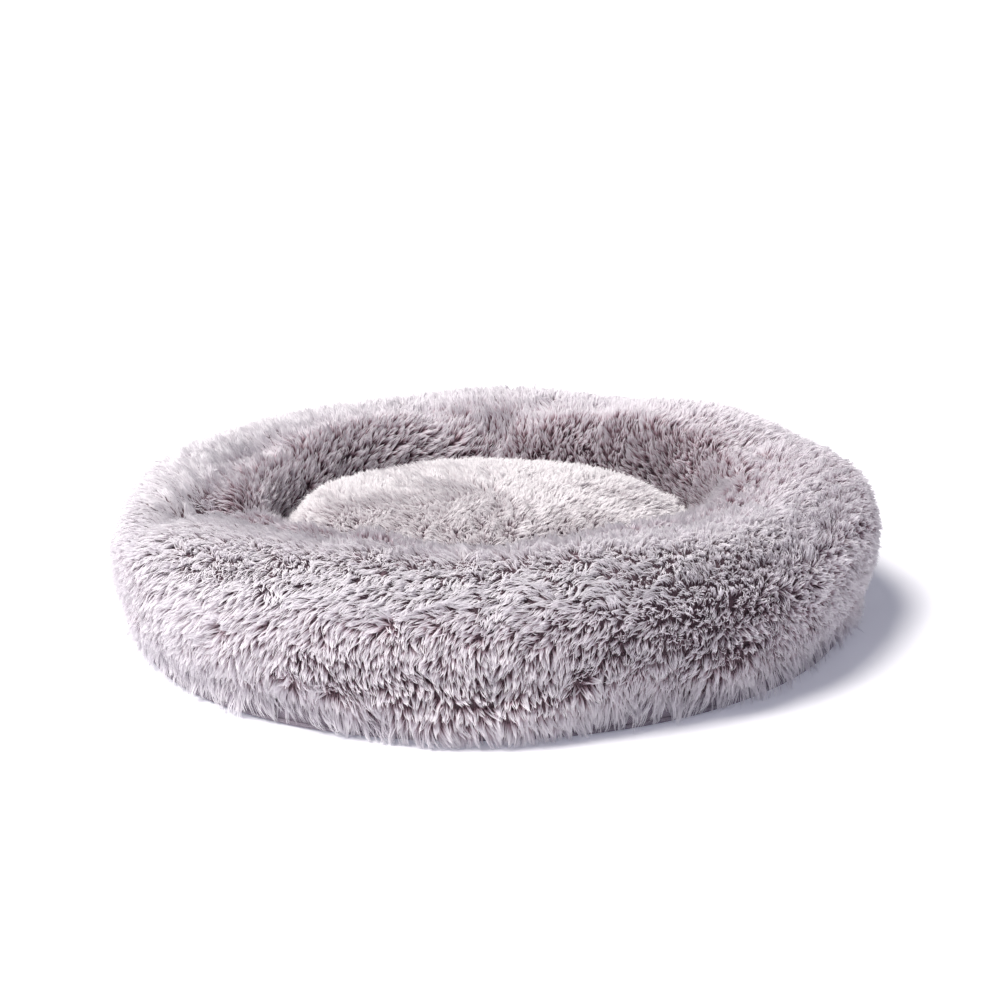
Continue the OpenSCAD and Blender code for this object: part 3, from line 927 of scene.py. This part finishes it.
# %% [markdown]
# ## Base, bands and binding
# The underside is a coated plain weave, so that the bed wipes clean and doesn't slide, with printed
# rubber dots. A boxing strip of the same cloth stands round it and carries the zip, and a woven tape
# binds the seam. These CAD shapes are right as they are, so they keep their meshes and get cloth.

# %% Cloth on the CAD nodes
nodes = frame["nodes"]


def dress(material, *names):
    for name in names:
        paint(nodes[name], material)


base_r = box("base_band")[1][0]
cushion_base_r = box("cushion_base_panel")[1][0]
base_cloth = woven("coated_oxford_base_cloth", "#837a85", 0.8, 0.78)
dress(base_cloth, "base_panel", "cushion_base_panel")
dress(woven("oxford_boxing_cloth", "#9a909b", 0.8, 0.8, base_r), "base_band")
dress(woven("cushion_boxing_cloth", "#9a909b", 0.8, 0.8, cushion_base_r), "cushion_band")
dress(woven("grosgrain_binding_tape", "#958b96", 0.6, 0.82, base_r), "base_binding")
dress(plush, "well_floor")
dress(mottled("needled_polyester_wadding", "#d8d6d2", "#f2f1ee", 0.95, 300.0, 1.0), "base_pad")


# %% Domed dots
def lathe(profile, sides):
    """Points and faces of a turned shape: profile is (radius, height) pairs from the edge inwards to
    the axis, and the last pair is its one middle point."""
    rings = np.array(profile[:-1])
    points = polar(rings[:, :1], circle(sides), rings[:, 1:]).reshape(-1, 3)
    points = np.vstack([points, [0, 0, profile[-1][1]]])
    at = numbered(len(rings), sides, close_v=True).T
    top = np.stack([at[:-1, -1], at[1:, -1], 0 * at[1:, 0] + len(points) - 1], 1)
    return points, grid_faces(at), top, at[:-1, 0]


def copies(name, points, face_sets, places, turns=None):
    """One mesh of a small shape at many places, each turned about z by its angle. places is (n, 3)."""
    turns = np.zeros(len(places)) if turns is None else turns
    cosine, sine = np.cos(turns)[:, None], np.sin(turns)[:, None]
    x = points[:, 0] * cosine - points[:, 1] * sine
    y = points[:, 0] * sine + points[:, 1] * cosine
    z = points[:, 2] + 0 * x
    every = (np.stack([x, y, z], -1) + places[:, None]).reshape(-1, 3)
    shift = (np.arange(len(places)) * len(points))[:, None, None]
    faces = [row for f in face_sets for row in (f[None] + shift).reshape(-1, f.shape[1])]
    return mesh_object(name, every, faces)


DOT_R, DOT_RINGS = 5 * MM, 5
DOME = ((1, 0), (0.97, -0.45), (0.84, -0.8), (0.5, -1), (0, -1))  # shares of a dot's radius and height
dots_reach, _, dot_h = box("grip_dots")[1]
pitch = (dots_reach - DOT_R) / DOT_RINGS
spots = [polar(ring * pitch, circle(max(1, 6 * ring)), dot_h) for ring in range(DOT_RINGS + 1)]
spots = np.concatenate(spots)
shape, flank, tip, edge = lathe([(r * DOT_R, z * dot_h) for r, z in DOME], 20)
dots = copies("grip_dots_domed", shape, (flank[:, ::-1], tip[:, ::-1], edge[None]), spots)
rubber = mottled("moulded_pvc_rubber", "#333137", "#434047", 0.62, 400.0, 0.15)
wear(dots, rubber, "bed", "grip_rubber", "grip_dots")
print("dots:", len(spots))


# %% Stitches
def stitches(name, radius, height, first, last, length, gap, body, slot, size=0.35 * MM, face_up=False):
    """A row of stitches round the bed: each is a flattened eight-sided bead, length long, sunk to
    half its thickness in the cloth, one every length plus gap."""
    count = int((last - first) * radius / (length + gap))
    angle = first + (np.arange(count) + 0.5) / count * (last - first)
    ring_angle = circle(8)
    along = np.array([-0.5, -0.34, 0.0, 0.34, 0.5]) * length
    swell = np.array([0.35, 0.85, 1.0, 0.85, 0.35]) * size
    y = np.repeat(along, 8)
    x = (swell[:, None] * np.cos(ring_angle)).ravel()
    z = (swell[:, None] * np.sin(ring_angle)).ravel()
    points = np.stack([z, y, x], 1) if face_up else np.stack([x, y, z], 1)
    at = numbered(5, 8, close_v=True)
    faces = (grid_faces(at), at[0, :-1][None], at[-1, :-1][None, ::-1])
    obj = copies(name, points, faces, polar(radius, angle, height), angle)
    return wear(obj, thread, body, slot)


thread = mottled("spun_polyester_thread", "#8d8690", "#b5aeb8", 0.7, 1500.0, 0.1)
binding_low, binding_high = box("base_binding")
SUNK = 0.02 * MM  # how far above the cloth's underside a stitch's middle lies
whole_turn = 2 * np.pi
stitches(
    "binding_stitches", binding_high[0] - 0.05 * MM, (binding_low[2] + binding_high[2]) / 2,
    0, whole_turn, 3.2 * MM, 1.2 * MM, "bed", "binding_tape",
)
stitches(
    "base_seam_stitches", base_r - 6 * MM, box("base_panel")[0][2] + SUNK,
    0, whole_turn, 3.2 * MM, 1.4 * MM, "bed", "base_cloth",
)
stitches(
    "cushion_seam_stitches", cushion_base_r - 5 * MM, box("cushion_base_panel")[0][2] + SUNK,
    0, whole_turn, 3.0 * MM, 1.3 * MM, "cushion", "base_cloth",
)

# %% [markdown]
# ## Zips
# Nylon coil zips: each coil is one monofilament wound into a flattened spring and sewn to its tape.
# The CAD holds each coil as a plain band, so a wound coil replaces it. The tapes, stops, sliders and
# pulls keep their CAD shapes.


# %% Wound coils
def tube(name, path, radius, sides=6):
    """A tube round an open path of points, with flat ends. Each ring lies across the path, on axes
    made from the direction of travel and the way out from the bed's middle."""
    way = unit(np.gradient(path, axis=0))
    side = unit(np.cross(way, unit(path * [1, 1, 0]) + [0, 0, 0.35]))
    up = np.cross(side, way)
    angle = circle(sides)[:, None]
    rings = path[:, None] + radius * (np.cos(angle) * side[:, None] + np.sin(angle) * up[:, None])
    at = numbered(len(path), sides, close_v=True)
    faces = [*grid_faces(at), at[0, :-1], at[-1, :-1][::-1]]
    return mesh_object(name, rings.reshape(-1, 3), faces)


COIL_PITCH, COIL_WIRE, COIL_REACH = 1.7 * MM, 0.36 * MM, 1.0 * MM
nylon = mottled("satin_nylon_coil", "#4e4953", "#5f5964", 0.42, 700.0, 0.05)
tape_cloth = {
    "ring": woven("twill_zip_tape", "#66606a", 0.45, 0.82, base_r),
    "cushion": woven("cushion_twill_zip_tape", "#66606a", 0.45, 0.82, cushion_base_r),
}
metal = mottled("satin_plated_zinc", "#8f8b90", "#a6a2a7", 0.34, 260.0, 0.04, Metallic=1.0)
ZIPS = (("ring", "bed", 15, 150), ("cushion", "cushion", 30, 130))  # (name, body, first degree, degrees)
for which, body, first, span in ZIPS:
    for side in ("lower", "upper"):
        node = f"{which}_zip_coil_{side}"
        low, high = box(node)
        half = (high[2] - low[2]) / 2
        tape_low, tape_high = box(f"{which}_zip_tape_{side}")
        zip_r = high[1] - COIL_REACH
        arc = math.radians(span) * zip_r
        windings = int(arc / COIL_PITCH)
        phase = np.linspace(0.3, windings * 2 * np.pi - 0.3, windings * 10)
        angle = math.radians(first) + phase / (windings * 2 * np.pi) * math.radians(span)
        mirror = 1 if side == "upper" else -1
        r = zip_r + (COIL_REACH - COIL_WIRE) * np.sin(phase)
        z = (high[2] + low[2]) / 2 - mirror * (half - COIL_WIRE) * np.cos(phase)
        coil = tube(node + "_wound", polar(r, angle, z), COIL_WIRE)
        wear(coil, nylon, body, "zip_coil", node)
        dress(tape_cloth[which], f"{which}_zip_tape_{side}")
        edge_z = tape_high[2] if side == "upper" else tape_low[2]
        stitches(
            f"{which}_zip_stitches_{side}", zip_r + 0.4 * MM, edge_z - mirror * 1.0 * MM,
            math.radians(first), math.radians(first + span), 2.4 * MM, 0.9 * MM, body, "zip_tape", 0.25 * MM,
        )
    dress(metal, f"{which}_zip_stops", f"{which}_zip_slider", f"{which}_zip_pull")
print("zips done")

# %% [markdown]
# ## Care label
# A satin loop label is a strip folded in two, its ends caught in the seam. The two layers spread a
# little at the fold. It is blank.

# %% Label
LABEL_AT = math.radians(172)
LABEL_W, LABEL_L = 24 * MM, 18 * MM
LAYER_GAP, FOLD_GAP, LABEL_CURL, LABEL_THICK = 0.22 * MM, 0.75 * MM, 2.2 * MM, 0.12 * MM
label_base_r = base_r + 1.2 * MM
nu, nv = 49, 13
run = np.linspace(0, 1, nu)
fold = np.abs(1 - 2 * run)
across = np.linspace(-0.5, 0.5, nv) * LABEL_W
away = LABEL_L * (1 - fold)
side = np.where(run < 0.5, 1, -1)
gap = LAYER_GAP + FOLD_GAP * np.sin(np.clip(1 - fold, 0, 1) * np.pi) ** 0.8
curl = LABEL_CURL * (1 - fold)[:, None] ** 2 * (1 + 0.35 * np.sin(across / LABEL_W * 7 + 0.6))[None]
height = box("care_label")[0][2] + 0.55 * MM + (side * gap / 2)[:, None] + curl
middle = np.stack(np.broadcast_arrays(label_base_r + away[:, None], across[None], height), -1)
half_way = LABEL_THICK / 2 * unit(np.cross(np.gradient(middle, axis=0), np.gradient(middle, axis=1)))
both = np.concatenate([(middle + half_way).reshape(-1, 3), (middle - half_way).reshape(-1, 3)])
cosine, sine = math.cos(LABEL_AT), math.sin(LABEL_AT)
both = both @ np.array([[cosine, sine, 0], [-sine, cosine, 0], [0, 0, 1]])
at = numbered(nu, nv)
face = grid_faces(at)
rim = np.concatenate([at[0], at[1:, -1], at[-1, -2::-1], at[-2:0:-1, 0]])
edge_faces = np.stack([rim, np.roll(rim, -1), np.roll(rim, -1) + nu * nv, rim + nu * nv], 1)
label = mesh_object("care_label_folded", both, [*face, *(face[:, ::-1] + nu * nv), *edge_faces[:, ::-1]])
satin = woven("white_satin_label", "#f4f2ee", 0.25, 0.45, Sheen_Weight=0.3)
wear(label, satin, "bed", "label_tape", "care_label")

# %% [markdown]
# ## Floor, light and camera
# A pale floor, one wide and soft sun from the upper left, and a faintly blue surround.

# %% Stage
floor_material, _, _ = new_material(
    "matt_white_floor", 0.9,
    Base_Color=linear("#f4f4f6"), Emission_Color=linear("#e6e9ff"), Emission_Strength=0.2,
)
bpy.ops.mesh.primitive_plane_add(size=60, location=(0, 0, 0))
floor = bpy.context.object
floor.name = "floor"
floor.data.materials.append(floor_material)
floor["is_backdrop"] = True

world = bpy.data.worlds.new("surround")
world.use_nodes = True
surround = world.node_tree.nodes["Background"].inputs
surround["Color"].default_value = linear("#eceeff")
surround["Strength"].default_value = 0.22
bpy.context.scene.world = world

SUN_WAY, SUN_ENERGY, SUN_WIDE = (0.47, 0.2, -0.87), 5.1, math.radians(35)
sun_data = bpy.data.lights.new("key_light", "SUN")
sun_data.energy, sun_data.angle = SUN_ENERGY, SUN_WIDE
sun_data.color = linear("#fffbf8")[:3]
sun = bpy.data.objects.new("key_light", sun_data)
sun.rotation_euler = Vector(SUN_WAY).to_track_quat("-Z", "Y").to_euler()
bpy.context.scene.collection.objects.link(sun)

# %% Camera
CAMERA_UP, CAMERA_ROLL = math.radians(16.2), math.radians(1.52)
AIM = (0, 0, 0.075)
FROM_AIM = (7 * MM, 16.8 * MM, 1.9)  # the camera's place from the point it aims at: right, up and away
camera_data = bpy.data.cameras.new("camera")
camera_data.sensor_width, camera_data.lens = 36, 87.5
camera = bpy.data.objects.new("camera", camera_data)
turned = Euler((math.pi / 2 - CAMERA_UP, 0, 0)).to_matrix() @ Matrix.Rotation(-CAMERA_ROLL, 3, "Z")
camera.matrix_world = Matrix.Translation(Vector(AIM) + turned @ Vector(FROM_AIM)) @ turned.to_4x4()
bpy.context.scene.collection.objects.link(camera)
bpy.context.scene.camera = camera
bpy.context.scene.view_settings.view_transform = "Standard"

# %% Finish
print("visual box", plain_box())
